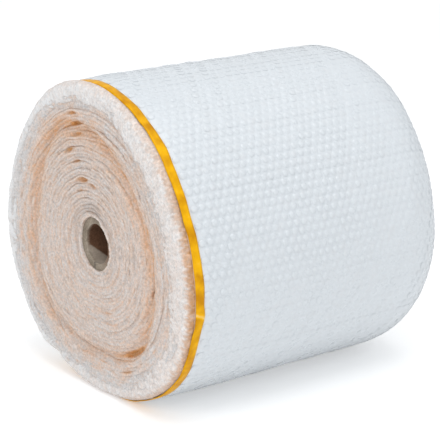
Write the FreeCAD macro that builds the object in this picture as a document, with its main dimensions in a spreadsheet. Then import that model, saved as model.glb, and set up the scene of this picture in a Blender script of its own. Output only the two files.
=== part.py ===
"""Roll of bubble bags: a web of bubble-film bags wound on a thick cardboard tube.

Frame: millimetres, +X along the roll from the bags' open end to their folded end, +Z up.
The origin is the middle of the roll's box at floor level, and the roll lies on its flat spot.
"""
import FreeCAD, Part
import Sketcher
import math
import os

os.makedirs("parts", exist_ok=True)
doc = FreeCAD.newDocument("bubble_bag_roll")

# ---------------------------------------------------------------- driving sizes
sheet = doc.addObject("Spreadsheet::Sheet", "sizes")
DRIVING = [
    ("bore_radius", 25.0, "bore of the cardboard tube"),
    ("tube_wall", 10.0, "wall of the cardboard tube"),
    ("tube_length", 410.0, "length of the cardboard tube"),
    ("tube_gap", 0.2, "slack between the tube and the first turn"),
    ("roll_diameter", 407.0, "the wound roll, before it settles on its flat spot"),
    ("turn_count", 19, "turns of the web"),
    ("bag_depth", 415.0, "from a bag's fold to the edge of its outer panel"),
    ("lip_length", 10.0, "how far the inner panel stands out past the outer one"),
    ("lip_step", 2.0, "how far the lip lies below the outer panel's face"),
    ("ridge_height", 4.5, "how far a turn's edge stands above the grooves beside it"),
    ("outer_set_back", 5.0, "how far the outermost turn's lip stands back from the others"),
    ("dish_depth", 7.0, "how far the open end is sunk next to the tube"),
    ("dish_turns", 7, "turns over which the open end sinks towards the tube"),
    ("loose_turn", 11, "turns inside the slack gap at the open end, wound tight and round"),
    ("slack_width", 7.0, "average width of the slack gap"),
    ("loose_gap_depth", 7.0, "how much deeper the slack gap is than the grooves between turns"),
    ("sag_lobes", 29.0, "how much the turns outside the gap bend tighter or flatter as they sag"),
    ("sag_oval", 12.0, "how much tighter they bend at the top than at the sides"),
    ("sag_drop", 4.6, "how far the middle of those turns hangs below the tube's axis"),
    ("lean_angle", 3.2, "slant of the open end, where the turns have slid along one another"),
    ("lean_side", 24.0, "side where the open end stands out, up from the horizontal at the back"),
    ("fold_end_round", 70.0, "rounding where the outer turns draw in over the folded end"),
    ("rounding_bands", 4, "bands that make up that rounding"),
    ("strip_width", 11.0, "coloured strip along the outer panel's edge"),
    ("strip_thickness", 0.3, "thickness of the coloured strip"),
    ("flat_width", 112.0, "flat spot that the soft roll lies on"),
    ("tail_angle", -57.0, "web's outer end, in degrees up from the horizontal at the back"),
]
FOLLOWING = [
    ("tube_radius", "=bore_radius + tube_wall"),
    ("seat_radius", "=tube_radius + tube_gap"),
    ("roll_radius", "=roll_diameter / 2"),
    ("bag_thickness", "=(roll_radius - seat_radius - slack_width) / turn_count"),
    ("centre_shift", "=bag_thickness / 4"),
    ("roll_length", "=bag_depth + lip_length"),
]
for row, (alias, value, meaning) in enumerate(DRIVING, start=1):
    sheet.set(f"A{row}", meaning)
    sheet.set(f"B{row}", str(value))
    sheet.setAlias(f"B{row}", alias)
for row, (alias, formula) in enumerate(FOLLOWING, start=len(DRIVING) + 1):
    sheet.set(f"B{row}", formula)
    sheet.setAlias(f"B{row}", alias)
    doc.recompute()


def size(alias):
    return float(sheet.get(alias))


def direction(degrees):
    """A direction across the roll, turned up from the horizontal at the back."""
    angle = math.radians(degrees)
    return FreeCAD.Vector(0, math.cos(angle), math.sin(angle))


thickness = size("bag_thickness")
turns = int(size("turn_count"))
loose_turn = int(size("loose_turn"))
along = FreeCAD.Vector(1, 0, 0)
upward = FreeCAD.Vector(0, 0, 1)

# ---------------------------------------------------------------- the sagging turns
# Outside the slack gap the turns sag into a rounded triangle with a corner at the top: six arcs
# of 60 degrees, tight and flat by turns, counted from the web's outer end, its tail. The
# centres of two neighbouring arcs lie on the line through their joint, so the arcs run on
# smoothly. Half a bag of growth at the tail and half at the joint opposite make the spiral.
SIXTH = 60
OPPOSITE = 3
lobes = size("sag_lobes")
oval = size("sag_oval")
tight_side = oval / 2 - lobes
flat_side = oval / 2 + lobes
bends = [tight_side, flat_side, -oval - lobes, flat_side, tight_side, lobes - oval]
arc_radii = [size("roll_radius") + bend for bend in bends[:OPPOSITE]]
arc_radii += [size("roll_radius") - thickness / 2 + bend for bend in bends[OPPOSITE:]]


def joint(number):
    """Direction of the line where an arc starts."""
    return direction(size("tail_angle") + SIXTH * number)


def arc_at(degrees):
    """Number of the arc whose surface faces a direction."""
    return int((degrees - size("tail_angle")) % 360 // SIXTH)


centres = [FreeCAD.Vector()]
for number in range(1, len(bends)):
    growth = arc_radii[number] - arc_radii[number - 1]
    centres.append(centres[-1] - joint(number) * growth)
middle = sum(centres, FreeCAD.Vector()) * (1 / len(centres))
centres = [centre - middle for centre in centres]


def reach(degrees, inward=0):
    """How far a turn of the sagging part reaches from their middle towards a direction."""
    number = arc_at(degrees)
    return centres[number].dot(direction(degrees)) + arc_radii[number] - inward


# ---------------------------------------------------------------- places
# The flat spot is a chord of the bottom arc, and the floor passes through it.
bottom = arc_at(270)
floor_drop = math.sqrt(arc_radii[bottom] ** 2 - (size("flat_width") / 2) ** 2) - centres[bottom].z
sag_middle = FreeCAD.Vector(0, (reach(180) - reach(0)) / 2, floor_drop)
axis = sag_middle + upward * size("sag_drop")

# The open end leans: on one side its edges stand out by fore_reach, and the box is that longer.
lean = math.radians(size("lean_angle"))
set_backs = {turns - 1: size("outer_set_back"), turns - 2: size("outer_set_back") / 3}
fore_reach = max(
    math.sin(lean) * reach(size("lean_side"), (turns - turn - 0.5) * thickness)
    - math.cos(lean) * set_backs.get(turn, 0)
    for turn in range(loose_turn, turns)
)
open_x = (fore_reach - size("roll_length")) / 2
fold_x = open_x + size("roll_length")
mouth_x = open_x + size("lip_length")
lean_pivot = sag_middle + along * open_x
lean_axis = along.cross(direction(size("lean_side")))
# What trims the roll reaches past it by a margin.
margin = size("roll_diameter") / 5
lie_along = FreeCAD.Rotation(FreeCAD.Vector(0, 1, 0), 90)


def turned(outline, centre, start, degrees):
    """Turn an outline of (x, radius) points about a line along the roll, from a direction."""
    points = [centre + along * x + start * radius for x, radius in outline]
    face = Part.Face(Part.makePolygon(points + points[:1]))
    return face.revolve(centre, along, degrees)


def leaning(shape):
    """Slant a shape with the open end."""
    shape.rotate(lean_pivot, lean_axis, size("lean_angle"))
    return shape


def sixfold(outline_of):
    """Six arcs of the sagging part as one solid, each from the outline for its own radius."""
    arcs = []
    for number, radius in enumerate(arc_radii):
        centre = sag_middle + centres[number]
        arcs.append(turned(outline_of(radius), centre, joint(number), SIXTH))
    return arcs[0].fuse(arcs[1:])


def ridges(first_turn, last_turn, first_radius):
    """The turns' edges at the open end, groove and crest in turn, from the tube outwards."""
    groove_x = open_x + size("ridge_height")
    line = []
    for turn in range(first_turn, last_turn):
        radius = first_radius + (turn - first_turn) * thickness
        sunk = size("dish_depth") * max(0, 1 - turn / size("dish_turns"))
        slack = size("loose_gap_depth") if turn == loose_turn else 0
        line.append((groove_x + sunk + slack, radius))
        line.append((open_x + sunk + set_backs.get(turn, 0), radius + thickness / 2))
    return line


gap_floor_x = open_x + size("ridge_height") + size("loose_gap_depth")
beyond_x = fold_x + margin


def tight_outline(first_radius):
    """Open end of the tight turns, from the tube's bore to the slack gap."""
    line = ridges(0, loose_turn, first_radius)
    gap = (gap_floor_x, first_radius + loose_turn * thickness)
    inner = size("bore_radius")
    return [(line[0][0], inner)] + line + [gap, (beyond_x, gap[1]), (beyond_x, inner)]


def loose_outline(radius):
    """Open end of the sagging turns: the gap's floor, the turns' edges and the outermost lip."""
    line = ridges(loose_turn, turns, radius - (turns - loose_turn) * thickness)
    lip = [(mouth_x, radius - size("lip_step")), (mouth_x, radius + margin)]
    return [(gap_floor_x, 0)] + line + lip + [(beyond_x, radius + margin), (beyond_x, 0)]


def body_outline(radius):
    """The roll's straight outer surface and the rounding over its folded end."""
    rounding = size("fold_end_round")
    bands = int(size("rounding_bands"))
    line = [(open_x - margin, 0), (open_x - margin, radius)]
    for step in range(bands + 1):
        angle = math.pi / 2 * step / bands
        x = fold_x - rounding * (1 - math.sin(angle))
        line.append((x, radius - rounding * (1 - math.cos(angle))))
    return line + [(fold_x, 0)]


def outer_form(inset):
    """The roll's straight outer surface, drawn in by an inset on the floor side too."""
    start_x = open_x - margin

    def outline(radius):
        return [(start_x, 0), (start_x, radius - inset), (fold_x, radius - inset), (fold_x, 0)]

    width = 2 * size("roll_diameter")
    corner = FreeCAD.Vector(start_x, -width / 2, inset)
    above_floor = Part.makeBox(fold_x - start_x, width, width, corner)
    return sixfold(outline).common(above_floor)


def add_shape(name, shape):
    holder = doc.addObject("Part::Feature", name)
    holder.Shape = shape
    return holder


# ---------------------------------------------------------------- coloured strip
# A printed film strip is welded flush along the edge of the outer panel, right round the roll.
band_width = 2 * size("roll_diameter")
band_corner = sag_middle + FreeCAD.Vector(mouth_x, -band_width / 2, -band_width / 2)
band = leaning(Part.makeBox(size("strip_width"), band_width, band_width, band_corner))
strip_skin = outer_form(0).cut(outer_form(size("strip_thickness")))
mouth_strip = add_shape("mouth_strip", strip_skin.common(band))

# ---------------------------------------------------------------- wound web of bags
# The tight turns wind as half-turns about two centres, a little to each side of the tube's
# axis, so that their radius grows by half a bag at each half-turn too.
shift = joint(0) * size("centre_shift")
tight_halves = [
    turned(tight_outline(size("seat_radius")), axis + shift, joint(0), 180),
    turned(tight_outline(size("seat_radius") - thickness / 2), axis - shift, joint(OPPOSITE), 180),
]
open_end = leaning(sixfold(loose_outline).fuse(tight_halves))
winding = add_shape("winding", sixfold(body_outline).common(open_end))

floor_trim = doc.addObject("Part::Box", "floor_trim")
floor_trim.setExpression("Length", "sizes.roll_length * 2")
floor_trim.setExpression("Width", "sizes.roll_radius * 4")
floor_trim.setExpression("Height", "sizes.roll_radius")
floor_trim.setExpression("Placement.Base.x", "-sizes.roll_length")
floor_trim.setExpression("Placement.Base.y", "-sizes.roll_radius * 2")
floor_trim.setExpression("Placement.Base.z", "-sizes.roll_radius")

tube_seat = doc.addObject("Part::Cylinder", "tube_seat")
tube_seat.setExpression("Radius", "sizes.seat_radius")
tube_seat.setExpression("Height", "sizes.roll_length * 2")
tube_seat.Placement = FreeCAD.Placement(axis - along * size("roll_length"), lie_along)

trims = doc.addObject("Part::MultiFuse", "trims")
trims.Shapes = [floor_trim, tube_seat, mouth_strip]
wound_bags = doc.addObject("Part::Cut", "wound_bags")
wound_bags.Base = winding
wound_bags.Tool = trims

# ---------------------------------------------------------------- cardboard tube
cardboard_tube = doc.addObject("PartDesign::Body", "cardboard_tube")
section = cardboard_tube.newObject("Sketcher::SketchObject", "tube_section")
for plane in cardboard_tube.Origin.OriginFeatures:
    if plane.Role == "YZ_Plane":
        section.AttachmentSupport = [(plane, "")]
section.MapMode = "FlatFace"
for number, alias in enumerate(("tube_radius", "bore_radius")):
    section.addGeometry(Part.Circle(FreeCAD.Vector(), FreeCAD.Vector(0, 0, 1), size(alias)))
    section.addConstraint(Sketcher.Constraint("Coincident", number, 3, -1, 1))
    radius = section.addConstraint(Sketcher.Constraint("Radius", number, size(alias)))
    section.renameConstraint(radius, alias)
    section.setExpression(f"Constraints.{alias}", f"sizes.{alias}")
wall = cardboard_tube.newObject("PartDesign::Pad", "tube_wall_pad")
wall.Profile = section
wall.Midplane = True
wall.setExpression("Length", "sizes.tube_length")
cardboard_tube.Tip = wall
cardboard_tube.Placement = FreeCAD.Placement(axis + along * (open_x + fold_x) / 2, FreeCAD.Rotation())
doc.recompute()

# ---------------------------------------------------------------- checks and files
for item in doc.Objects:
    if "Invalid" in item.State or "Error" in item.State:
        raise RuntimeError(f"{item.Name} did not build: {item.State}")

for node in (wound_bags, mouth_strip, cardboard_tube):
    node.Label = node.Name
    if node.Shape.isNull() or not node.Shape.isValid():
        raise RuntimeError(f"{node.Label} has no valid shape")
    box = node.Shape.optimalBoundingBox()
    print(f"{node.Label}: {len(node.Shape.Solids)} solid, {node.Shape.Volume:.0f} mm3, {box}")
    node.Shape.exportStep(f"parts/{node.Label}.step")
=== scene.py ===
"""Roll of bubble bags: a web of clear bubble-film bags wound on a cardboard tube, lying on its side.

Metres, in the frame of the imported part: +X along the roll from the bags' open end to their
folded end, +Z up. Angles go round the roll from +Y, at the back, over the top.
"""
import math
import bpy
import numpy as np
from mathutils import Matrix, Vector


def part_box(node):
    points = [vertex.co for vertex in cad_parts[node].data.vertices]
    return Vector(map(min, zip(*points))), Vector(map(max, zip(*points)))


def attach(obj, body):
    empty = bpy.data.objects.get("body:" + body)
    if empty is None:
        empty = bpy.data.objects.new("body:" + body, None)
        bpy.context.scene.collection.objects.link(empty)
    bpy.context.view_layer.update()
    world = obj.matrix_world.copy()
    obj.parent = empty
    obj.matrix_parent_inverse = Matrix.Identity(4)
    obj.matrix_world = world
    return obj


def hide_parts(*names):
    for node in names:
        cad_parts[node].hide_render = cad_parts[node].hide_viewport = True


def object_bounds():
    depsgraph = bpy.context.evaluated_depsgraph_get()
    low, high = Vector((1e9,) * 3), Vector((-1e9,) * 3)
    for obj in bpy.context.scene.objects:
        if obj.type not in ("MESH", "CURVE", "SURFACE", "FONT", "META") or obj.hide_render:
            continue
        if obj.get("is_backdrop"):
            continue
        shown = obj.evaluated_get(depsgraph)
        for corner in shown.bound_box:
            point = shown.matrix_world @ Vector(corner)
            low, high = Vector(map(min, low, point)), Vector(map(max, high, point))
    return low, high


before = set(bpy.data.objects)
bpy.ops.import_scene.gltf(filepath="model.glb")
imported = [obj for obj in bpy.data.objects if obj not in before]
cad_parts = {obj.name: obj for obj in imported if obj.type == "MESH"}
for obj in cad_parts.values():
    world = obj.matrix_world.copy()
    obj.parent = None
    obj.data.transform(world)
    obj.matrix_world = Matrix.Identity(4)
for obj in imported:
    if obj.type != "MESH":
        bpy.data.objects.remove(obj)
cad_low, cad_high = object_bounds()

# ---------------------------------------------------------------- outer turn of the web
# The outermost bags of the web, in clear polyethylene bubble film with its bubbles outwards.
# The film is wound snug round the turns inside it and draws in over their folded end. Its
# free end, low at the back, is welded flat and lies on the turn before.
tube_low, tube_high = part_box("cardboard_tube")
middle_x = (tube_low.x + tube_high.x) / 2
axis_y = (tube_low.y + tube_high.y) / 2
axis_z = (tube_low.z + tube_high.z) / 2
tube_radius = (tube_high.z - tube_low.z) / 2
fold_x = cad_high.x                 # the bags' folds
half_length = fold_x - middle_x
open_x = middle_x - half_length     # the bags' edges, before the open end leans
mouth_x = open_x + 0.010            # the outer panel's edge
strip_width = 0.011
turns = 19
bag_thickness = 0.0085
seat_radius = tube_radius + 0.0002
girth_radius = 0.2010
middle_z = axis_z - 0.0046          # the sagging roll's middle is a little below its tube
oval, triangle = 0.0134, 0.0235     # how far its outline leaves a circle, as shares of its radius
settled = 0.002                     # how softly the roll turns into its flat spot
tail_angle = math.radians(-57)      # where the web ends, low at the back
weld_angle = 190.5                  # degrees, a cross weld of the outer bag on the near side
bubble_pitch = 0.0109               # along the roll
bubble_row = math.radians(3)        # round the roll
fold_round, fold_drop = 0.070, 0.071    # the far end's rounding, along the roll and inwards
lean_up, lean_back = 0.023, 0.051   # slant of the open end, with height and towards the back
arm = 0.2                           # about a radius, to turn angles into lengths round the roll


def turn_left(angle):
    """Part of a turn from the web's free end on to an angle, eased across that end."""
    part = np.mod((angle - tail_angle) / (2 * math.pi), 1.0)
    return np.interp(part, [0, 0.012, 0.988, 1], [0.5, 0.012, 0.988, 0.5])


def reach(angle):
    """The roll's outer radius at each angle, as it sags and as it grows towards the free end."""
    form = oval * np.cos(2 * (angle - math.radians(94.2)))
    form = form + triangle * np.cos(3 * (angle - math.radians(93)))
    return girth_radius * (1 + form) + bag_thickness * (0.5 - turn_left(angle))


def round_the_roll(angle, share, inward, x):
    """Points at an angle and at a share of the wound radius, drawn in by a length."""
    free = seat_radius + (reach(angle) - seat_radius) * share - inward
    down = np.maximum(-np.sin(angle), 1e-3)
    floor = seat_radius + (middle_z / down - seat_radius) * share - 0.0003
    radius = 0.5 * (free + floor - np.sqrt((free - floor) ** 2 + settled ** 2))
    y = axis_y + radius * np.cos(angle)
    z = axis_z + (middle_z - axis_z) * share + radius * np.sin(angle)
    lean = lean_up * (z - middle_z) + lean_back * (y - axis_y)
    points = np.stack([x - lean * np.clip((middle_x - x) / half_length, 0, 1), y, z], -1)
    points[..., 2] = np.maximum(points[..., 2], 0.0002)
    return points


def drifting(length, knot, seed):
    """A smooth random line between -1 and 1 along a length, with a knot at each step."""
    marks = np.random.default_rng(seed).uniform(-1, 1, 40000)
    count = len(marks)
    place = np.asarray(length) / knot + 50
    low = np.floor(place).astype(int)
    part = place - low
    part = part * part * (3 - 2 * part)
    return marks[low % count] * (1 - part) + marks[(low + 1) % count] * part


def ramp(low, high, value):
    """0 below low and 1 above high, smooth between them."""
    part = np.clip((value - low) / (high - low), 0, 1)
    return part * part * (3 - 2 * part)


def near(value, place, width):
    """1 at a place and falling away smoothly on both sides of it."""
    return np.exp(-((value - place) / width) ** 2)


def near_angle(angle, degrees, width):
    """1 at an angle in degrees and falling away smoothly on both sides of it."""
    away = np.degrees(angle) - degrees
    return np.exp(-(((away + 180) % 360 - 180) / width) ** 2)


def mesh_of(name, points, faces, paint):
    """A smooth-shaded mesh object, with a number or a vector per point for each painted attribute."""
    mesh = bpy.data.meshes.new(name)
    mesh.vertices.add(len(points))
    mesh.vertices.foreach_set("co", points.astype(np.float32).ravel())
    corners = faces.shape[1]
    mesh.loops.add(faces.size)
    mesh.loops.foreach_set("vertex_index", faces.astype(np.int32).ravel())
    mesh.polygons.add(len(faces))
    mesh.polygons.foreach_set("loop_start", np.arange(0, faces.size, corners, dtype=np.int32))
    mesh.polygons.foreach_set("use_smooth", np.ones(len(faces), bool))
    for attribute, values in paint.items():
        kind = "FLOAT_VECTOR" if values.ndim == 2 else "FLOAT"
        layer = mesh.attributes.new(attribute, kind, "POINT")
        layer.data.foreach_set("vector" if values.ndim == 2 else "value",
                               values.astype(np.float32).ravel())
    mesh.update()
    mesh.validate()
    piece = bpy.data.objects.new(name, mesh)
    bpy.context.scene.collection.objects.link(piece)
    return piece


def grid_faces(number):
    """Faces between the neighbouring points of a grid, from a table of the points' numbers."""
    return np.stack([number[:-1, :-1], number[:-1, 1:], number[1:, 1:], number[1:, :-1]], -1).reshape(-1, 4)


def ring_faces(rows, columns):
    """Faces of a grid that is numbered row by row and closed round the roll, the other way up."""
    number = np.arange(rows * columns).reshape(rows, columns)
    return grid_faces(np.vstack([number, number[:1]]))[:, [0, 3, 2, 1]]


def mouth_drop(distance):
    """How far the outer turn is drawn in near its mouth, at a distance along the roll."""
    return 0.0024 * (1 - ramp(-0.002, 0.040, distance))


# The film's columns, by distance from the outer panel's mouth, with how far each lies in.
mouth_columns = [(-0.0006, 0.0034), (0.0, 0.0026), (0.0007, 0.0024), (0.0054, 0.0023),
                 (strip_width, 0.0021)]
lattice_start = 0.0170
lattice_inset = 0.0009
straight = fold_x - fold_round - mouth_x
over_fold = 0.080
lattice_count = int((straight + over_fold - lattice_start) / (bubble_pitch / 2)) + 1
body_columns = [(lattice_start + n * bubble_pitch / 2, lattice_inset) for n in range(lattice_count)]
last_column = body_columns[-1][0]
tuck_columns = [(last_column + 0.003, 0.0040), (last_column + 0.004, 0.0075)]
columns = mouth_columns + body_columns + tuck_columns
along = np.array([c[0] for c in columns])
inset = np.array([c[1] for c in columns])

# Its rows go once round from the free end. The last few are drawn in a little more, so that the
# free end's flat weld stands above them.
row_count = int(round(2 * math.pi / bubble_row))
tail_row = row_count - 0.07
row_marks = np.array(list(range(row_count)) + [tail_row])
row_angle = tail_angle + bubble_row * row_marks
weld_drop = 0.0012 * ramp(row_count - 4, tail_row, row_marks)

angle, distance = np.meshgrid(row_angle, along, indexing="ij")
over = np.clip(distance - straight, 0, None) / ((fold_round + fold_drop) / 2)
over = np.minimum(over, math.pi / 2)
x = mouth_x + np.minimum(distance, straight) + fold_round * np.sin(over)
draw_in = fold_drop * (1 - np.cos(over))
inward = inset[None, :] + draw_in + mouth_drop(distance) + weld_drop[:, None]
wrinkle = 0.0006 * drifting(angle * arm + 3 * distance, 0.045, 3)
wrinkle = wrinkle + 0.0005 * drifting(angle * arm, 0.017, 4) * ramp(0.02, 0.1, distance)
inward = inward + wrinkle * ramp(0.012, 0.030, distance)
# The cross weld of the outer bag is a faint pucker that runs in from the strip.
weld = near((angle - math.radians(weld_angle)) * arm, 0, 0.0042)
weld = weld * ramp(0.0, 0.006, distance) * (1 - ramp(0.030, 0.048, distance))
inward = inward + 0.0005 * weld
points = round_the_roll(angle, np.ones_like(angle), inward, x)

# Bubbles sit on every other seat of the lattice, off the floor and off the weld.
seat = np.zeros(angle.shape, bool)
for column in range(lattice_count):
    for row in range(1, row_count - 1):
        seat[row, len(mouth_columns) + column] = (row + column) % 2 == 0
seat &= points[..., 2] > 0.0030
seat &= weld < 0.25
# The bubbles are blown up most on the near side, and are pressed flatter above and below it.
blown = np.interp(np.degrees(angle) % 360, [0, 60, 95, 125, 142, 176, 196, 214, 250, 300, 360],
                  [0.6, 0.5, 0.46, 0.70, 1.45, 1.45, 0.70, 0.26, 0.24, 0.5, 0.6])
blown = blown * (1 - 0.55 * ramp(0.22, 0.34, distance))
blown = blown + 0.16 * drifting(angle * 3 + distance * 40, 0.5, 8)
shrink = np.stack([np.ones_like(angle), (reach(angle) - inward) / girth_radius, blown], -1)
tint = (0.10 + 0.50 * near_angle(angle, 176, 50)) * (1 - ramp(0.004, 0.012, distance))
outer_film = mesh_of("outer_film", points.reshape(-1, 3), ring_faces(*angle.shape), {
    "tint": tint.ravel(), "shrink": shrink.reshape(-1, 3), "depth": np.zeros(angle.size),
    "bubble_seat": seat.ravel().astype(float)})

# One bubble: a flat-topped dome of eight sides, a unit across and a unit high.
sides = 8
rings = [(0.50, 0.0), (0.41, 0.50), (0.24, 0.90)]
dome_points, dome_faces = [], []
for level, (radius, height) in enumerate(rings):
    for side in range(sides):
        turned = 2 * math.pi * side / sides
        dome_points.append((radius * math.cos(turned), radius * math.sin(turned), height))
        here, after = level * sides + side, level * sides + (side + 1) % sides
        if level < len(rings) - 1:
            dome_faces.append((here, after, after + sides, here + sides))
dome_faces.append(tuple((len(rings) - 1) * sides + side for side in range(sides)))
bubble_mesh = bpy.data.meshes.new("bubble")
bubble_mesh.from_pydata(dome_points, [], dome_faces)
bubble_mesh.polygons.foreach_set("use_smooth", [True] * len(dome_faces))
dome = bubble_mesh.attributes.new("dome", "FLOAT", "POINT")
dome.data.foreach_set("value", [p[2] for p in dome_points])
bubble = bpy.data.objects.new("bubble", bubble_mesh)
bpy.context.scene.collection.objects.link(bubble)


def maths(tree, operation, *values):
    """The result of one maths node, from numbers or other nodes' outputs."""
    node = tree.nodes.new("ShaderNodeMath")
    node.operation = operation
    for socket, value in zip(node.inputs, values):
        if isinstance(value, bpy.types.NodeSocket):
            tree.links.new(value, socket)
        else:
            socket.default_value = value
    return node.outputs[0]


def between(tree, value, low, high, over=(0.0, 1.0)):
    """A number that goes from low to high while a value goes over a range."""
    node = tree.nodes.new("ShaderNodeMapRange")
    node.inputs["From Min"].default_value, node.inputs["From Max"].default_value = over
    node.inputs["To Min"].default_value, node.inputs["To Max"].default_value = low, high
    tree.links.new(value, node.inputs["Value"])
    return node.outputs["Result"]


def painted(tree, attribute):
    """The numbers painted on a piece's points under a name."""
    node = tree.nodes.new("ShaderNodeAttribute")
    node.attribute_name = attribute
    return node.outputs["Fac"]


def cloudy(tree, place, grains, detail):
    """A cloudy pattern over a place, with about so many grains a metre."""
    node = tree.nodes.new("ShaderNodeTexNoise")
    node.inputs["Scale"].default_value, node.inputs["Detail"].default_value = grains, detail
    tree.links.new(place, node.inputs["Vector"])
    return node


def add_relief(tree, height, strength, depth):
    """Fine relief on a material's surface."""
    node = tree.nodes.new("ShaderNodeBump")
    node.inputs["Strength"].default_value, node.inputs["Distance"].default_value = strength, depth
    tree.links.new(height, node.inputs["Height"])
    tree.links.new(node.outputs["Normal"], tree.nodes["Principled BSDF"].inputs["Normal"])


def film_tone_group():
    """Milky clear film: from white at a free edge to its tinted shade deep between the turns."""
    group = bpy.data.node_groups.new("film_tone", "ShaderNodeTree")
    for label, kind, default in (("Clear Film", "NodeSocketColor", (0.8, 0.82, 0.84, 1)),
                                 ("Strip Glow", "NodeSocketColor", (0.7, 0.4, 0.2, 1)),
                                 ("Mottle Size", "NodeSocketFloat", 150.0),
                                 ("Mottle Amount", "NodeSocketFloat", 0.3),
                                 ("Fleck Amount", "NodeSocketFloat", 0.1)):
        socket = group.interface.new_socket(label, in_out="INPUT", socket_type=kind)
        socket.default_value = default
    for label, kind in (("Colour", "NodeSocketColor"), ("Roughness", "NodeSocketFloat"),
                        ("Height", "NodeSocketFloat")):
        group.interface.new_socket(label, in_out="OUTPUT", socket_type=kind)
    node, link = group.nodes.new, group.links.new
    given, out = node("NodeGroupInput"), node("NodeGroupOutput")
    place = node("ShaderNodeTexCoord")
    mottle = cloudy(group, place.outputs["Object"], 150.0, 3.0)
    mottle.inputs["Roughness"].default_value = 0.6
    link(given.outputs["Mottle Size"], mottle.inputs["Scale"])
    swing = maths(group, "SUBTRACT", mottle.outputs["Fac"], 0.5)
    swing = maths(group, "MULTIPLY", swing, given.outputs["Mottle Amount"])
    glow = maths(group, "ADD", painted(group, "tint"), swing)
    glow.node.use_clamp = True
    tinted = node("ShaderNodeMix")
    tinted.data_type = "RGBA"
    link(glow, tinted.inputs["Factor"])
    link(given.outputs["Clear Film"], tinted.inputs["A"])
    link(given.outputs["Strip Glow"], tinted.inputs["B"])
    # Painted shade: film seen end-on, deep between the turns, is painted darker by its depth. The bubbles'
    # crowns are painted a little darker than their feet, a painted light in the shade between them.
    shade = between(group, painted(group, "depth"), 1.0, 0.60, over=(0.0, 2.0))
    crown = between(group, painted(group, "dome"), 1.00, 0.97)
    # Light and dark flecks: partly the whitening of small creases and crushed bubbles, partly painted
    # glints and painted shade, but not where it is calm.
    apart = node("ShaderNodeSeparateColor")
    link(mottle.outputs["Color"], apart.inputs["Color"])
    amount = maths(group, "SUBTRACT", 1.0, painted(group, "calm"))
    amount = maths(group, "MULTIPLY", amount, given.outputs["Fleck Amount"])
    fleck = maths(group, "SUBTRACT", apart.outputs["Green"], 0.5)
    fleck = maths(group, "MULTIPLY_ADD", fleck, amount, 1.0)
    toned = node("ShaderNodeVectorMath")
    toned.operation = "SCALE"
    link(tinted.outputs["Result"], toned.inputs[0])
    link(maths(group, "MULTIPLY", maths(group, "MULTIPLY", shade, crown), fleck), toned.inputs["Scale"])
    link(toned.outputs["Vector"], out.inputs["Colour"])
    link(between(group, mottle.outputs["Fac"], 0.22, 0.42, over=(0.3, 0.7)), out.inputs["Roughness"])
    link(mottle.outputs["Fac"], out.inputs["Height"])
    return group


film_tone = film_tone_group()
clear_film = (0.650, 0.684, 0.712, 1)
strip_glow = (0.72, 0.35, 0.125, 1)


def film_material(name, clear, mottle_size, mottle_amount, fleck_amount, bump, scatter):
    """Glossy milky polyethylene film, toned by the shared film group."""
    material = bpy.data.materials.new(name)
    material.use_nodes = True
    nodes, link = material.node_tree.nodes, material.node_tree.links.new
    surface = nodes["Principled BSDF"]
    surface.inputs["IOR"].default_value = 1.5
    surface.inputs["Specular IOR Level"].default_value = 0.5
    surface.inputs["Subsurface Weight"].default_value = scatter
    surface.inputs["Subsurface Radius"].default_value = (1.0, 0.95, 0.9)
    surface.inputs["Subsurface Scale"].default_value = 0.010
    tone = nodes.new("ShaderNodeGroup")
    tone.node_tree = film_tone
    tone.inputs["Clear Film"].default_value = clear
    tone.inputs["Strip Glow"].default_value = strip_glow
    tone.inputs["Mottle Size"].default_value = mottle_size
    tone.inputs["Mottle Amount"].default_value = mottle_amount
    tone.inputs["Fleck Amount"].default_value = fleck_amount
    link(tone.outputs["Colour"], surface.inputs["Base Color"])
    link(tone.outputs["Roughness"], surface.inputs["Roughness"])
    add_relief(material.node_tree, tone.outputs["Height"], bump, 0.001)
    return material


outer_finish = film_material("bubble_film_outer", clear_film, mottle_size=90.0, mottle_amount=0.10,
                             fleck_amount=0.04, bump=0.35, scatter=0.0)


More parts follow.
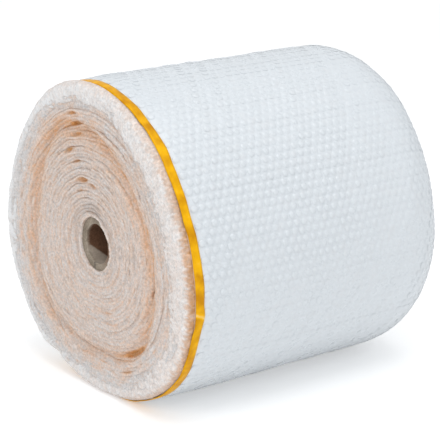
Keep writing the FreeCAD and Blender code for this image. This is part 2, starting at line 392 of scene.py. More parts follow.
def bubbled_film_tree():
    """Sets a bubble on each seat of the film, standing along the film's normal."""
    tree = bpy.data.node_groups.new("bubbled_film", "GeometryNodeTree")
    tree.interface.new_socket("Geometry", in_out="INPUT", socket_type="NodeSocketGeometry")
    for label, kind, default in (("Bubble", "NodeSocketObject", None),
                                 ("Bubble Diameter", "NodeSocketFloat", 0.0098),
                                 ("Bubble Height", "NodeSocketFloat", 0.0011),
                                 ("Height Spread", "NodeSocketFloat", 0.25),
                                 ("Seed", "NodeSocketInt", 11),
                                 ("Film", "NodeSocketMaterial", None)):
        socket = tree.interface.new_socket(label, in_out="INPUT", socket_type=kind)
        if default is not None:
            socket.default_value = default
    tree.interface.new_socket("Geometry", in_out="OUTPUT", socket_type="NodeSocketGeometry")
    node, link = tree.nodes.new, tree.links.new
    given, out = node("NodeGroupInput"), node("NodeGroupOutput")
    shape = node("GeometryNodeObjectInfo")
    link(given.outputs["Bubble"], shape.inputs["Object"])
    seat_in, shrink_in = node("GeometryNodeInputNamedAttribute"), node("GeometryNodeInputNamedAttribute")
    seat_in.data_type, shrink_in.data_type = "FLOAT", "FLOAT_VECTOR"
    seat_in.inputs["Name"].default_value, shrink_in.inputs["Name"].default_value = "bubble_seat", "shrink"
    seated = node("FunctionNodeCompare")
    seated.data_type, seated.operation = "FLOAT", "GREATER_THAN"
    seated.inputs["B"].default_value = 0.5
    link(seat_in.outputs["Attribute"], seated.inputs["A"])
    normal = node("GeometryNodeInputNormal")
    stand = node("FunctionNodeAxesToRotation")
    stand.primary_axis, stand.secondary_axis = "Z", "X"
    stand.inputs["Secondary Axis"].default_value = (1, 0, 0)
    link(normal.outputs["Normal"], stand.inputs["Primary Axis"])
    spread = node("FunctionNodeRandomValue")
    spread.data_type = "FLOAT"
    link(maths(tree, "SUBTRACT", 1.0, given.outputs["Height Spread"]), spread.inputs[2])
    link(maths(tree, "ADD", 1.0, given.outputs["Height Spread"]), spread.inputs[3])
    link(given.outputs["Seed"], spread.inputs["Seed"])
    size = node("ShaderNodeCombineXYZ")
    link(given.outputs["Bubble Diameter"], size.inputs["X"])
    link(given.outputs["Bubble Diameter"], size.inputs["Y"])
    link(maths(tree, "MULTIPLY", given.outputs["Bubble Height"], spread.outputs[1]), size.inputs["Z"])
    fitted = node("ShaderNodeVectorMath")
    fitted.operation = "MULTIPLY"
    link(size.outputs["Vector"], fitted.inputs[0])
    link(shrink_in.outputs["Attribute"], fitted.inputs[1])
    blow = node("GeometryNodeInstanceOnPoints")
    link(given.outputs["Geometry"], blow.inputs["Points"])
    link(seated.outputs["Result"], blow.inputs["Selection"])
    link(shape.outputs["Geometry"], blow.inputs["Instance"])
    link(stand.outputs["Rotation"], blow.inputs["Rotation"])
    link(fitted.outputs["Vector"], blow.inputs["Scale"])
    together = node("GeometryNodeJoinGeometry")
    link(given.outputs["Geometry"], together.inputs["Geometry"])
    link(blow.outputs["Instances"], together.inputs["Geometry"])
    real = node("GeometryNodeRealizeInstances")
    link(together.outputs["Geometry"], real.inputs["Geometry"])
    finish = node("GeometryNodeSetMaterial")
    link(real.outputs["Geometry"], finish.inputs["Geometry"])
    link(given.outputs["Film"], finish.inputs["Material"])
    link(finish.outputs["Geometry"], out.inputs["Geometry"])
    return tree


def made_by(piece, tree, settings):
    """Runs a tree of geometry nodes on a piece and keeps the result as its plain mesh."""
    maker = piece.modifiers.new(tree.name, "NODES")
    maker.node_group = tree
    for item in tree.interface.items_tree:
        if item.item_type == "SOCKET" and item.in_out == "INPUT" and item.name in settings:
            maker[item.identifier] = settings[item.name]
    bpy.context.view_layer.update()
    shapes = bpy.context.evaluated_depsgraph_get()
    made = bpy.data.meshes.new_from_object(piece.evaluated_get(shapes), preserve_all_data_layers=True,
                                           depsgraph=shapes)
    piece.modifiers.clear()
    plain, piece.data = piece.data, made
    bpy.data.meshes.remove(plain)
    made.name = piece.name


made_by(outer_film, bubbled_film_tree(), {
    "Bubble": bubble, "Bubble Diameter": 0.0098, "Bubble Height": 0.0011, "Height Spread": 0.25,
    "Seed": 11, "Film": outer_finish})
bpy.data.objects.remove(bubble)
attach(outer_film, "root")
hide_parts("wound_bags")

# ---------------------------------------------------------------- lip of the outer turn
# The outer bag's inner panel stands out past its strip and rolls over the turns inside it as a
# broad, soft, glossy lip of the same bubble film. The strip's colour shows through beside it.
lip_steps = 1200
# The lip's line, from under the strip: distance along the roll from the mouth, and how far in.
lip_line = [(0.0030, 0.0030), (0.0004, 0.0026), (-0.0022, 0.0030), (-0.0050, 0.0044), (-0.0076, 0.0068),
            (-0.0091, 0.0100), (-0.0099, 0.0142), (-0.0102, 0.0188), (-0.0101, 0.0236), (-0.0096, 0.0290),
            (-0.0089, 0.0345), (-0.0080, 0.0400), (-0.0068, 0.0450), (-0.0050, 0.0490), (-0.0024, 0.0520)]
lip_columns = 42
lip_angle = tail_angle + 2 * math.pi * np.arange(lip_steps) / lip_steps


def dappled(length, across, knot, seed):
    """Smooth random dabs between -1 and 1 over a length and the distance across it."""
    marks = np.random.default_rng(seed).uniform(-1, 1, 40009)
    count = len(marks)
    u, v = np.asarray(length) / knot + 500, np.asarray(across) / knot + 500
    low_u, low_v = np.floor(u).astype(int), np.floor(v).astype(int)
    u, v = u - low_u, v - low_v
    u, v = u * u * (3 - 2 * u), v * v * (3 - 2 * v)
    mark = [marks[((low_u + a) * 7919 + (low_v + b) * 104729) % count] for a in (0, 1) for b in (0, 1)]
    return (mark[0] * (1 - v) + mark[1] * v) * (1 - u) + (mark[2] * (1 - v) + mark[3] * v) * u


knots = np.linspace(0, len(lip_line) - 1, lip_columns)
lip_out = np.interp(knots, range(len(lip_line)), [p[0] for p in lip_line])
lip_in = np.interp(knots, range(len(lip_line)), [p[1] for p in lip_line])
angle, distance = np.meshgrid(lip_angle, lip_out, indexing="ij")
lip_top = mouth_drop(along[0])
inward = np.broadcast_to(lip_in, angle.shape) + lip_top
curl = np.broadcast_to(knots / (len(lip_line) - 1), angle.shape)
# It is broad on the near side and narrow elsewhere.
broad_from = 0.010
broad = 0.42 + 0.66 * near_angle(angle, 172, 66)
inward = np.minimum(inward, broad_from) + np.clip(inward - broad_from, 0, None) * broad
run, across = angle * arm, inward - distance - lip_top
free_part = ramp(0.04, 0.20, curl)
# At the top of the far side it stands up above the strip.
inward = inward - 0.0048 * near_angle(angle, 62, 34) * ramp(0.02, 0.12, curl)
sway = 0.0014 * drifting(run, 0.060, 6) + 0.0006 * drifting(run, 0.018, 5)
dabs = 0.7 * dappled(run, across, 0.0044, 7) + 0.3 * dappled(run, across, 0.0105, 9)
rough = (0.0010 + 0.0009 * ramp(0.5, 0.9, curl)) * (1 - 0.75 * near_angle(angle, 25, 80))
x = mouth_x + distance + free_part * (sway + rough * dabs + 0.0006 * dappled(run, across, 0.0027, 11))
inward = inward + free_part * 0.0006 * dappled(run, across, 0.0062, 10)
points = round_the_roll(angle, np.ones_like(angle), inward, x)
# The strip's colour shows in a band with ragged teeth, strongest on the near side, and painted shade
# darkens the band beside the strip.
teeth = dappled(run * 2.2, across * 0.6, 0.0052, 12)
band = 1 - ramp(0.0070, 0.0210, across + 0.0070 * teeth)
band = band * (0.22 + 0.78 * near_angle(angle, 183, 46))
tint = 0.09 + 0.08 * near_angle(angle, 190, 80) - 0.09 * near_angle(angle, 0, 60)
tint = tint + 0.10 * dabs + band * (0.74 + 0.34 * teeth)
# Painted shade: the band beside the strip is darker, with random lighter dabs.
depth = 0.15 + band * (1.45 + 1.00 * teeth) - 0.35 * dappled(run, across, 0.0036, 14)
outer_lip = mesh_of("outer_lip", points.reshape(-1, 3), ring_faces(*angle.shape)[:, ::-1], {
    "tint": np.clip(tint, 0, 1).ravel(), "depth": np.clip(depth, 0, 2).ravel(),
    "calm": 0.75 * near_angle(angle, 10, 70).ravel()})
white_film = (0.745, 0.745, 0.747, 1)
outer_lip.data.materials.append(film_material(
    "bubble_film_lip", white_film, mottle_size=360.0, mottle_amount=0.34, fleck_amount=0.90, bump=1.0,
    scatter=0.10))
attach(outer_lip, "root")
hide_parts("wound_bags")

# ---------------------------------------------------------------- turns at the open end
# The open bags' mouths, seen edge-on: each turn of the web shows the soft edges of its two
# panels, crumpled where they cut through bubbles. Their strips' colour glows up between them.
slack_depth = 0.0075                # of the gap between the tight turns and the sagging ones
under_lip = 0.0085                  # how far the last turn is drawn in, to pass under the lip


def groove_at(angle):
    """Share of the wound radius where the slack gap runs."""
    away = ((np.degrees(angle) - 157 + 180) % 360 - 180) / 63
    share = 0.668 - 0.163 * np.exp(-away ** 4) + 0.050 * near_angle(angle, 56, 20)
    return share - 0.030 * near_angle(angle, 232, 26) - 0.095 * near_angle(angle, 10, 38)


# Gaps where neighbouring turns part: angle, share of the radius, half width (deg), opening.
parted = [(78.0, 0.760, 3.4, 0.0022), (77.0, 0.684, 4.2, 0.0026), (78.5, 0.606, 4.2, 0.0022),
          (70.0, 0.508, 4.6, 0.0030), (75.0, 0.410, 4.6, 0.0018), (78.0, 0.272, 7.0, 0.0032),
          (93.0, 0.238, 6.5, 0.0022), (71.0, 0.200, 7.0, 0.0015), (246.0, 0.750, 3.8, 0.0014),
          (238.0, 0.632, 12.0, 0.0034), (251.0, 0.310, 5.0, 0.0012)]


def wound_surface(name, first, last, steps, rows, form, facing):
    """The turns' edges, from the first turn to the last, as one surface along the web's spiral.

    rows are shares of a turn, form gives x, the turns wound and the paint of each row's points,
    and facing is -1 at the far end, where the faces are turned over.
    """
    count = int(round((last - first) * steps)) + 1
    age = first + np.arange(count) / steps
    angle = tail_angle - 2 * math.pi * age
    outermost = turns - turn_left(angle)
    blocks, paints = [], []
    for number in range(len(rows) + 1):
        turn = age + number // len(rows)
        x, wound, paint = form(turn, number % len(rows), outermost)
        share = np.clip(wound / outermost, 0, 1)
        blocks.append(round_the_roll(angle, share, under_lip * ramp(0.88, 1.0, share), x))
        paints.append(paint)
    points = np.stack(blocks, 1)
    rows_now = points.shape[1]
    paint = {key: np.stack([p[key] for p in paints], 1).ravel() for key in paints[0]}
    # Weld each turn's last row to the first row of the turn outside it.
    number = np.arange(count * rows_now).reshape(count, rows_now)
    inside = np.arange(count - steps)
    number[inside, rows_now - 1] = number[inside + steps, 0]
    used, packed = np.unique(grid_faces(number), return_inverse=True)
    paint = {key: values[used] for key, values in paint.items()}
    return mesh_of(name, points.reshape(-1, 3)[used], packed.reshape(-1, 4)[:, ::facing], paint)


def web_length(turn):
    """Length of web wound up to a turn."""
    return 2 * math.pi * (seat_radius * turn + bag_thickness * turn ** 2 / 2)


def face_form(angle, share):
    """How far the open end lies back from its plane at an angle and share of the radius."""
    back = slack_depth * near(share, groove_at(angle), 0.050)
    back = back + 0.0024 * near(share, 0.83, 0.035) * (0.5 + 0.5 * np.cos(angle - math.radians(60)))
    back = back + 0.0120 * ramp(0.88, 1.03, share) + 0.0028 * (1 - ramp(0.0, 0.35, share))
    by_tube = 1 - ramp(0.0, 0.16, share)
    back = back + by_tube * (0.0030 * near_angle(angle, 0, 70) - 0.0012 * near_angle(angle, 185, 62))
    return back + 0.0030 * near_angle(angle, 172, 62) * ramp(0.66, 0.84, share)


def face_glow(angle, share):
    """How much of the strips' colour shows at an angle and share of the radius."""
    groove = near(share, groove_at(angle), 0.066 + 0.024 * near_angle(angle, 30, 60))
    warm = 0.16 + 0.18 * near_angle(angle, 170, 60) + 0.16 * near_angle(angle, 50, 70)
    white = near_angle(angle, 150, 55) * ramp(0.66, 0.74, share)
    upper = near_angle(angle, 80, 42) * ramp(0.30, 0.60, share)
    return 0.27 + 0.10 * upper + warm * groove - 0.12 * white - (
        0.20 + 0.12 * near_angle(angle, 0, 60)) * ramp(0.72, 0.90, share)


# Rows across one panel's edge, by share of a turn. Then, for the rows of both panels, how far
# back each lies and how deep it is in shade.
edge_rows = [0.0, 0.12, 0.25, 0.38]
open_rows = edge_rows + [0.5 + r for r in edge_rows]
edge_down = [0.0024, 0.0009, 0.0, 0.0006, 0.0013, 0.0005, 0.0, 0.0007]
edge_shade = [0.75, 0.30, 0.0, 0.25, 0.40, 0.18, 0.0, 0.25]
gap_reach = 0.010                   # how far from a parted gap the turns still give way


def edges(turn, row, outermost):
    """Rows across one turn's edges: the gap, then the soft crests of its two panels."""
    angle = tail_angle - 2 * math.pi * turn
    run = web_length(turn + 0.5)
    panel = row // len(edge_rows)
    crumple = 0.09 * drifting(run, 0.009, 20 + panel) + 0.07 * drifting(run, 0.032, 22 + panel)
    wound = turn + open_rows[row] + crumple * (row > 0)
    share = np.clip(wound / outermost, 0, 1)
    tip = 0.0007 * drifting(run, 0.0050, 24 + panel) + 0.0009 * drifting(run, 0.013, 26 + panel)
    tip = tip + 0.0010 * drifting(run, 0.045, 28 + panel) + 0.0004 * drifting(run, 0.0036, 30 + row)
    lines = (0.35 + 0.65 * near_angle(angle, 80, 52)) * (1 - 0.55 * ramp(0.74, 0.84, share))
    gap = edge_down[row] * (0.75 + 0.5 * drifting(run, 0.030, 40 + panel)) * lines
    push, opened = np.zeros_like(turn), np.zeros_like(turn)
    for place_angle, place, half, opening in parted:
        beside = near_angle(angle, place_angle, half)
        from_gap = (share - place) * (girth_radius - seat_radius)
        given_way = np.tanh(from_gap / 0.0012) * np.exp(-np.abs(from_gap) / gap_reach)
        push = push + beside * opening / 2 * given_way
        opened = opened + beside * near(from_gap, 0, 0.0010 + opening / 5) * opening / 0.0025
    wound = wound + push / bag_thickness
    opened = np.clip(opened, 0, 1.4)
    crumpled = (gap + tip) * np.clip(1 + 4 * wound, 0, 1)
    x = open_x + face_form(angle, share) + crumpled + 0.0045 * opened + 0.012 * np.clip(-wound, 0, 1)
    if row == 0:
        # The first row of all goes down beside the tube.
        x = x + 0.010 * (turn < 0)
    dabs = 0.13 * drifting(run, 0.0056, 50 + row) + 0.08 * drifting(run, 0.020, 60 + panel)
    dabs = dabs + 0.06 * drifting(run + 40 * share, 0.11, 62)
    dabs = dabs + 0.14 * dappled(run, share * 0.17, 0.0085, 63) * ramp(0.60, 0.70, share)
    # Painted shade, warmed with the strips' colour: the gaps between panels and where turns part are
    # painted darker and more tinted, and the turns inside the outer ones a little darker.
    glow = (face_glow(angle, share) + dabs) * (0.80 + 0.55 * edge_shade[row]) + 0.75 * opened
    shade = edge_shade[row] * (0.8 + 0.4 * drifting(run, 0.012, 70 + row))
    shade = shade * (1 - 0.7 * ramp(0.66, 0.80, share)) * lines
    shade = shade + 0.12 * (1 - ramp(0.72, 0.84, share)) + 0.9 * opened
    # The turns next to the tube lie in its shade, apart from the first one's pale edge.
    beside_tube = (0.35 + 0.65 * near_angle(angle, 60, 80)) * (0.8 + 0.4 * drifting(run, 0.014, 72))
    shade = shade + near(wound, 0.9, 0.9) * beside_tube - near(wound, 0.1, 0.18)
    return x, wound, {"tint": np.clip(glow, 0, 1.2), "depth": np.clip(shade, 0, 1.6)}


warm_film = (0.612, 0.592, 0.584, 1)
edges_finish = film_material("bubble_film_edges", warm_film, mottle_size=340.0, mottle_amount=0.52,
                             fleck_amount=1.05, bump=0.8, scatter=0.45)
for name, first, last, steps in (("open_end_inner_turns", -1, 12, 600),
                                 ("open_end_outer_turns", 12, 18, 960)):
    open_end = wound_surface(name, first, last, steps, open_rows, edges, 1)
    open_end.data.materials.append(edges_finish)
    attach(open_end, "root")
    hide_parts("wound_bags")

# ---------------------------------------------------------------- folded bottoms of the bags
# The other end of the web, where each bag's film is folded: a soft round bead for each turn,
# dimpled by the bubbles, flat in the middle and stepping back towards the outer turn.
bead_rows = [0.0, 0.06, 0.18, 0.34, 0.5, 0.66, 0.82, 0.94]
bead_height = 0.0046
last_bead = 15                      # the outer film, drawn in, covers the turns outside this one


def folds(turn, row, outermost):
    """Rows across one folded bead, from the crease inside it to the crease outside it."""
    angle = tail_angle - 2 * math.pi * turn
    run = web_length(turn + 0.5)
    rise = math.sqrt(max(0.0, 1 - (2 * bead_rows[row] - 1) ** 2))
    sway = 0.05 * drifting(run, 0.03, 81) + 0.06 * drifting(run, 0.12, 82)
    wound = turn + bead_rows[row] + sway * rise
    share = np.clip(wound / outermost, 0, 1)
    radius = seat_radius + (reach(angle) - seat_radius) * share
    overhang = np.clip((radius - (reach(angle) - fold_drop)) / fold_drop, 0, 1)
    end = fold_x - fold_round * (1 - np.sqrt(1 - overhang ** 2))
    dimple = 0.0007 * np.sin(2 * math.pi * run / 0.0104 + 3 * drifting(run, 0.3, 83))
    uneven = 0.0010 * drifting(run, 0.035, 84) + 0.0012 * drifting(run, 0.25, 85)
    x = end - 0.0052 + rise * (bead_height + dimple + uneven)
    # Painted shade darkens the creases between the beads.
    return x, wound, {"tint": np.full_like(turn, 0.02), "depth": np.full_like(turn, (1 - rise) * 0.9)}


folded_end = wound_surface("folded_end_turns", -1, last_bead, 360, bead_rows, folds, -1)
folded_end.data.materials.append(film_material(
    "bubble_film_folds", clear_film, mottle_size=200.0, mottle_amount=0.08, fleck_amount=0.10, bump=0.5,
    scatter=0.0))
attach(folded_end, "root")
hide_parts("wound_bags")

# ---------------------------------------------------------------- coloured strip
# A yellow-orange film strip welded along the edge of the outer panel. It is thin and a little
# slack, so it waves gently and kinks where the web's cross welds pull at it.
strip_steps = 720
strip_angle = tail_angle + 2 * math.pi * np.arange(strip_steps) / strip_steps
run = strip_angle * arm
# Kinks: angle in degrees, shift along the roll, half width in degrees. Those up to a side angle
# catch the light on one flank and lie in shade on the other.
lit_up_to = 180
kinks = [(117, -0.0012, 4), (130, 0.0014, 4), (156, -0.0010, 5), (180, 0.0012, 4),
         (weld_angle, 0.0016, 3), (199, -0.0013, 6), (225, -0.0006, 7), (262, 0.0010, 8)]
shift = 0.0008 * drifting(run, 0.060, 41) + 0.0004 * drifting(run, 0.021, 42)
painted_kink_shading = np.zeros_like(run)
for centre, step, half in kinks:
    shift = shift + step * near(np.degrees(strip_angle) % 360, centre, half)
    # Painted highlight on one flank of a kink and painted shade on the other.
    if centre <= lit_up_to:
        painted_kink_shading = painted_kink_shading + 0.25 * near_angle(strip_angle, centre, half / 2)
        painted_kink_shading = painted_kink_shading - 0.25 * near_angle(strip_angle, centre + half, half / 2)
width = strip_width * (1 + 0.05 * drifting(run, 0.05, 43))
# Rows across the strip, by share of its width, with how far each lies below its face.
strip_rows = [(-0.5, 0.0012), (-0.495, 0.0002), (-0.25, 0.0), (0.0, -0.00015), (0.25, 0.0),
              (0.495, 0.0002), (0.5, 0.0012)]
blocks, paleness = [], []
for place, low in strip_rows:
    ripple = 0.0004 * drifting(run + 0.02 * place, 0.016, 44) + 0.0004 * drifting(run, 0.045, 45)
    # A shift to the right moves the right edge alone, so that no gap opens beside the lip.
    sideways = np.where(shift > 0, shift * (0.5 + place), shift)
    x = mouth_x + strip_width / 2 + sideways + place * width
    inward = 0.0005 + low + ripple + mouth_drop(x - mouth_x)
    blocks.append(round_the_roll(strip_angle, np.ones_like(strip_angle), inward, x))
    # The kinks' painted highlight and painted shade, and the weld: a pale line that runs slightly aslant.
    paleness.append(painted_kink_shading + 0.9 * near_angle(strip_angle, weld_angle + 1.6 * place, 0.8))
points = np.stack(blocks, 1)
mouth_strip = mesh_of("strip_film", points.reshape(-1, 3), ring_faces(*points.shape[:2]),
                      {"paleness": np.stack(paleness, 1).ravel()})


def toned_over(tree, value, *marks):
    """A colour that passes through marks, each a value and its colour."""
    node = tree.nodes.new("ShaderNodeValToRGB")
    elements = node.color_ramp.elements
    for number, (position, colour) in enumerate(marks):
        mark = elements[number] if number < 2 else elements.new(position)
        mark.position, mark.color = position, colour
    tree.links.new(value, node.inputs["Fac"])
    return node.outputs["Color"]


strip_material = bpy.data.materials.new("strip_film_finish")
strip_material.use_nodes = True
nodes, link = strip_material.node_tree.nodes, strip_material.node_tree.links.new
surface = nodes["Principled BSDF"]
surface.inputs["IOR"].default_value = 1.5
surface.inputs["Specular IOR Level"].default_value = 0.10
tree = strip_material.node_tree
place = nodes.new("ShaderNodeTexCoord")
cloud = cloudy(tree, place.outputs["Object"], 70.0, 3.0).outputs["Fac"]
# The kinks' painted highlight and shade, and the pale weld, shift the strip's tone.
tone_place = maths(tree, "MULTIPLY_ADD", painted(tree, "paleness"), 0.5, cloud)
strip_tones = toned_over(tree, tone_place, (0.30, (0.57, 0.24, 0.001, 1)),
                         (0.70, (0.87, 0.455, 0.003, 1)), (1.0, (0.92, 0.64, 0.22, 1)))
link(strip_tones, surface.inputs["Base Color"])
link(between(tree, cloud, 0.28, 0.48), surface.inputs["Roughness"])
add_relief(tree, cloud, 0.25, 0.0008)
mouth_strip.data.materials.append(strip_material)
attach(mouth_strip, "root")
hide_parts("mouth_strip")

# ---------------------------------------------------------------- cardboard tube
# Spiral-wound grey-brown board, cut square: its plies show as rings at the cut ends, and
# their butt joints as helical lines on the bore. The cut edges are a little furred and worn.
bore_radius = 0.025
board_lay = 0.16                    # the board's strips go once round in this length
ply = 0.0011                        # thickness of one layer of the board
tube_steps = 240
wall = tube_radius - bore_radius
round_tube = 2 * math.pi * np.arange(tube_steps) / tube_steps
half = tube_high.x - middle_x
# The tube's line, from the outside over one end, through the bore and back over the other:
# place along the tube, and share of the wall from its outside.
rounded, cut_edges = 0.0010, (0.02, 0.98)
collar, fine_step, fine_count = 0.006, 0.0015, 15
cut_end = [(half - rounded, 0.0)]
for share in [0.02] + [n / 10 for n in range(1, 10)] + [0.98]:
    cut_end.append((half - (0.4 * rounded if share in cut_edges else 0.0), share))
cut_end += [(half - rounded, 1.0), (half - collar, 1.0)]
near_mouth = [(half - collar - fine_step * n, 1.0) for n in range(1, fine_count + 1)]
deep = half - collar - fine_step * fine_count
bore = [(deep - 2 * deep * n / 40, 1.0) for n in range(1, 40)]
other_mouth = [(-x, share) for x, share in reversed(near_mouth)] + [(collar - half, 1.0)]
other_end = [(-x, share) for x, share in reversed(cut_end)][1:]
outside = [((half - collar) * (n / 3 - 1), 0.0) for n in range(7)]
tube_line = cut_end + near_mouth + bore + other_mouth + other_end + outside
# How far a painted pool of light reaches into the open end's mouth, by degrees round it.
light_patch_reach = np.interp(np.degrees(round_tube), [0, 240, 262, 283, 302, 317, 337, 350, 360],
                       [0.0, 0.0, 0.024, 0.0235, 0.0195, 0.0155, 0.007, 0.0, 0.0])
blocks, liner_and_shade_rows, worn = [], [], []
for x, share in tube_line:
    at_end = 1.0 if abs(x) > half - 0.002 else 0.0
    furr = 0.00025 * np.sin(7 * round_tube + 9 * share)
    furr = at_end * (furr + 0.0003 * drifting(round_tube * 0.03 + 3 * share, 0.004, 51 + int(share * 10)))
    r = tube_radius - wall * share
    inside, painted_light_patch = 0.0, np.zeros(tube_steps)
    if share == 1.0:
        seam = np.mod(x / board_lay + round_tube / (2 * math.pi), 1.0)
        r = r + (1 - at_end) * 0.0005 * near(seam, 0.5, 0.012)
        r = r + 0.0002 * drifting(round_tube * 0.03, 0.03, 52)
        inside = np.clip((half - abs(x) - 0.0008) / 0.003, 0, 1)
    # A pool of light painted on the bore's lower wall, towards the back, inside the open end's mouth.
    if x < 0:
        painted_light_patch = 1 - ramp(-0.0015, 0.0015, half + x - light_patch_reach)
    # Painted shade on the near side of the open end's cut ring.
    in_shade = (x < 0) * at_end * share * near_angle(round_tube, 185, 45)
    liner_and_shade_rows.append(np.maximum(inside * (1 - painted_light_patch), in_shade))
    pale_edge = 0.30 + 0.40 * drifting(round_tube, 0.25, 53)
    worn.append(inside * painted_light_patch + at_end * (share in cut_edges or share == 1.0) * pale_edge)
    blocks.append(np.stack([np.full(tube_steps, middle_x + x) - math.copysign(1, x) * furr,
                            axis_y + r * np.cos(round_tube), axis_z + r * np.sin(round_tube)], -1))
points = np.stack(blocks, 0)
number = np.arange(points.shape[0] * tube_steps).reshape(points.shape[:2])
number = np.vstack([number, number[:1]])
number = np.hstack([number, number[:, :1]])
tube = mesh_of("board_tube", points.reshape(-1, 3), grid_faces(number), {
    "liner": np.stack(liner_and_shade_rows, 0).ravel(), "worn": np.stack(worn, 0).ravel()})
board = bpy.data.materials.new("tube_board_finish")
board.use_nodes = True
nodes, link = board.node_tree.nodes, board.node_tree.links.new
surface = nodes["Principled BSDF"]
surface.inputs["Specular IOR Level"].default_value = 0.25
tree = board.node_tree
place = nodes.new("ShaderNodeTexCoord")
centred = nodes.new("ShaderNodeVectorMath")
centred.operation = "SUBTRACT"
centred.inputs[1].default_value = (middle_x, axis_y, axis_z)
link(place.outputs["Object"], centred.inputs[0])
centred = centred.outputs["Vector"]
parts = nodes.new("ShaderNodeSeparateXYZ")
link(centred, parts.inputs["Vector"])
# Plies are rings round the axis.
flat = nodes.new("ShaderNodeCombineXYZ")
link(parts.outputs["Y"], flat.inputs["Y"])
link(parts.outputs["Z"], flat.inputs["Z"])
distance_out = nodes.new("ShaderNodeVectorMath")
distance_out.operation = "LENGTH"
link(flat.outputs["Vector"], distance_out.inputs[0])
plies = maths(tree, "SINE", maths(tree, "MULTIPLY", distance_out.outputs["Value"], 2 * math.pi / ply))
fibre = cloudy(tree, centred, 420.0, 5.0).outputs["Fac"]
mixed = nodes.new("ShaderNodeMix")
mixed.data_type = "FLOAT"
mixed.inputs["Factor"].default_value = 0.45
link(fibre, mixed.inputs["A"])
link(cloudy(tree, centred, 45.0, 2.0).outputs["Fac"], mixed.inputs["B"])
grain = maths(tree, "MULTIPLY_ADD", plies, 0.05, mixed.outputs["Result"])
# The butt joint between the board's strips is a dark helical line.
turned = maths(tree, "ARCTAN2", parts.outputs["Z"], parts.outputs["Y"])
helix = maths(tree, "ADD", maths(tree, "DIVIDE", turned, 2 * math.pi),
              maths(tree, "DIVIDE", parts.outputs["X"], board_lay))
off_seam = maths(tree, "ABSOLUTE", maths(tree, "SUBTRACT", maths(tree, "FRACT", helix), 0.5))
seamed = nodes.new("ShaderNodeVectorMath")
seamed.operation = "SCALE"
link(toned_over(tree, grain, (0.32, (0.17, 0.135, 0.098, 1)), (0.70, (0.40, 0.34, 0.27, 1))),
     seamed.inputs[0])
link(between(tree, off_seam, 0.6, 1.0, over=(0.008, 0.016)), seamed.inputs["Scale"])
# The bore's liner is redder and darker: its own colour, and painted shade in the bore. Painted shade also
# lies on the near side of the open end's cut ring. A painted pool of light lies low in the open end's
# mouth, and the cut edges are worn pale.
liner_shaded, worn_and_lit_mix = nodes.new("ShaderNodeMix"), nodes.new("ShaderNodeMix")
liner_shaded.data_type, liner_shaded.blend_type = "RGBA", "MULTIPLY"
liner_shaded.inputs["B"].default_value = (0.66, 0.40, 0.29, 1)
link(painted(tree, "liner"), liner_shaded.inputs["Factor"])
link(seamed.outputs["Vector"], liner_shaded.inputs["A"])
worn_and_lit_mix.data_type, worn_and_lit_mix.blend_type = "RGBA", "ADD"
worn_and_lit_mix.inputs["B"].default_value = (0.24, 0.205, 0.175, 1)
link(painted(tree, "worn"), worn_and_lit_mix.inputs["Factor"])
link(liner_shaded.outputs["Result"], worn_and_lit_mix.inputs["A"])
link(worn_and_lit_mix.outputs["Result"], surface.inputs["Base Color"])
link(between(tree, fibre, 0.72, 0.92), surface.inputs["Roughness"])
add_relief(tree, grain, 0.5, 0.0006)
tube.data.materials.append(board)
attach(tube, "root")
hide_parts("cardboard_tube")

# ---------------------------------------------------------------- studio
# A white floor under a plain white sky: broad soft light from above, from the front and on the
# open end, and the roll's own soft shadow under it.
floor_mesh = bpy.data.meshes.new("studio_floor")
floor_mesh.from_pydata([(-6, -6, 0), (6, -6, 0), (6, 6, 0), (-6, 6, 0)], [], [(0, 1, 2, 3)])
floor = bpy.data.objects.new("studio_floor", floor_mesh)
bpy.context.scene.collection.objects.link(floor)
floor_white = bpy.data.materials.new("studio_floor_white")
floor_white.use_nodes = True
nodes, link = floor_white.node_tree.nodes, floor_white.node_tree.links.new
surface = nodes["Principled BSDF"]
surface.inputs["Base Color"].default_value = (0.86, 0.86, 0.86, 1)
surface.inputs["Roughness"].default_value = 0.9
surface.inputs["Specular IOR Level"].default_value = 0.0
# The floor glows a little, and more to the eye than to the roll, so that it stays white.
seen = nodes.new("ShaderNodeLightPath")
lit = maths(floor_white.node_tree, "MULTIPLY_ADD", seen.outputs["Is Camera Ray"], 0.14, 0.16)
surface.inputs["Emission Color"].default_value = (1, 1, 1, 1)
link(lit, surface.inputs["Emission Strength"])
floor_mesh.materials.append(floor_white)
floor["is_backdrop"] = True

world = bpy.data.worlds.new("studio_sky")
bpy.context.scene.world = world
world.use_nodes = True
nodes, link = world.node_tree.nodes, world.node_tree.links.new
nodes.clear()
sky_out = nodes.new("ShaderNodeOutputWorld")
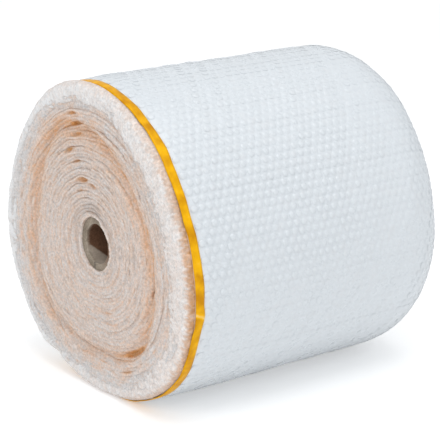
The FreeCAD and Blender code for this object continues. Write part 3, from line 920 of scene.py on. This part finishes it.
# The sky is plain white to the eye, and lights the roll a little less.
plain, soft = nodes.new("ShaderNodeBackground"), nodes.new("ShaderNodeBackground")
plain.inputs["Color"].default_value, plain.inputs["Strength"].default_value = (1, 1, 1, 1), 1.0
soft.inputs["Color"].default_value, soft.inputs["Strength"].default_value = (0.96, 0.98, 1.0, 1), 0.80
seen = nodes.new("ShaderNodeLightPath")
direct = maths(world.node_tree, "MAXIMUM", seen.outputs["Is Camera Ray"],
               seen.outputs["Is Transmission Ray"])
choose = nodes.new("ShaderNodeMixShader")
link(direct, choose.inputs["Fac"])
link(soft.outputs["Background"], choose.inputs[1])
link(plain.outputs["Background"], choose.inputs[2])
link(choose.outputs["Shader"], sky_out.inputs["Surface"])

middle = Vector((middle_x, axis_y, middle_z))
for name, place, size, power in (("overhead_softbox", (-0.1, -0.5, 2.2), 1.6, 15),
                                 ("front_softbox", (-0.4, -2.4, 0.20), 1.2, 6),
                                 ("open_end_softbox", (-2.3, -0.5, 1.5), 1.2, 10)):
    lamp = bpy.data.lights.new(name, "AREA")
    lamp.shape, lamp.size, lamp.energy = "SQUARE", size, power
    stand = bpy.data.objects.new(name, lamp)
    stand.location = place
    stand.rotation_euler = (Vector(place) - middle).to_track_quat("Z", "Y").to_euler()
    bpy.context.scene.collection.objects.link(stand)

camera_data = bpy.data.cameras.new("camera")
camera_data.lens = 135.8
camera_data.sensor_width = 36.0
camera = bpy.data.objects.new("camera", camera_data)
bpy.context.scene.collection.objects.link(camera)
azimuth, elevation, roll = math.radians(53.586), math.radians(17.317), math.radians(0.32)
away = 2.145
aim_left, aim_down = 0.00723, 0.00084   # so that the roll sits as it should in the frame
back = Vector((-math.cos(azimuth) * math.cos(elevation), -math.sin(azimuth) * math.cos(elevation),
               math.sin(elevation)))
right = (-back).cross(Vector((0, 0, 1))).normalized()
up = right.cross(-back)
right, up = (right * math.cos(roll) + up * math.sin(roll)), (up * math.cos(roll) - right * math.sin(roll))
aim = (-back - right * aim_left - up * aim_down).normalized()
right = aim.cross(up).normalized()
up = right.cross(aim)
camera.matrix_world = Matrix.Translation(middle + back * away) @ Matrix(
    ((right.x, up.x, -aim.x), (right.y, up.y, -aim.y), (right.z, up.z, -aim.z))).to_4x4()
bpy.context.scene.camera = camera
bpy.context.scene.view_settings.view_transform = "Standard"

low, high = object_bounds()
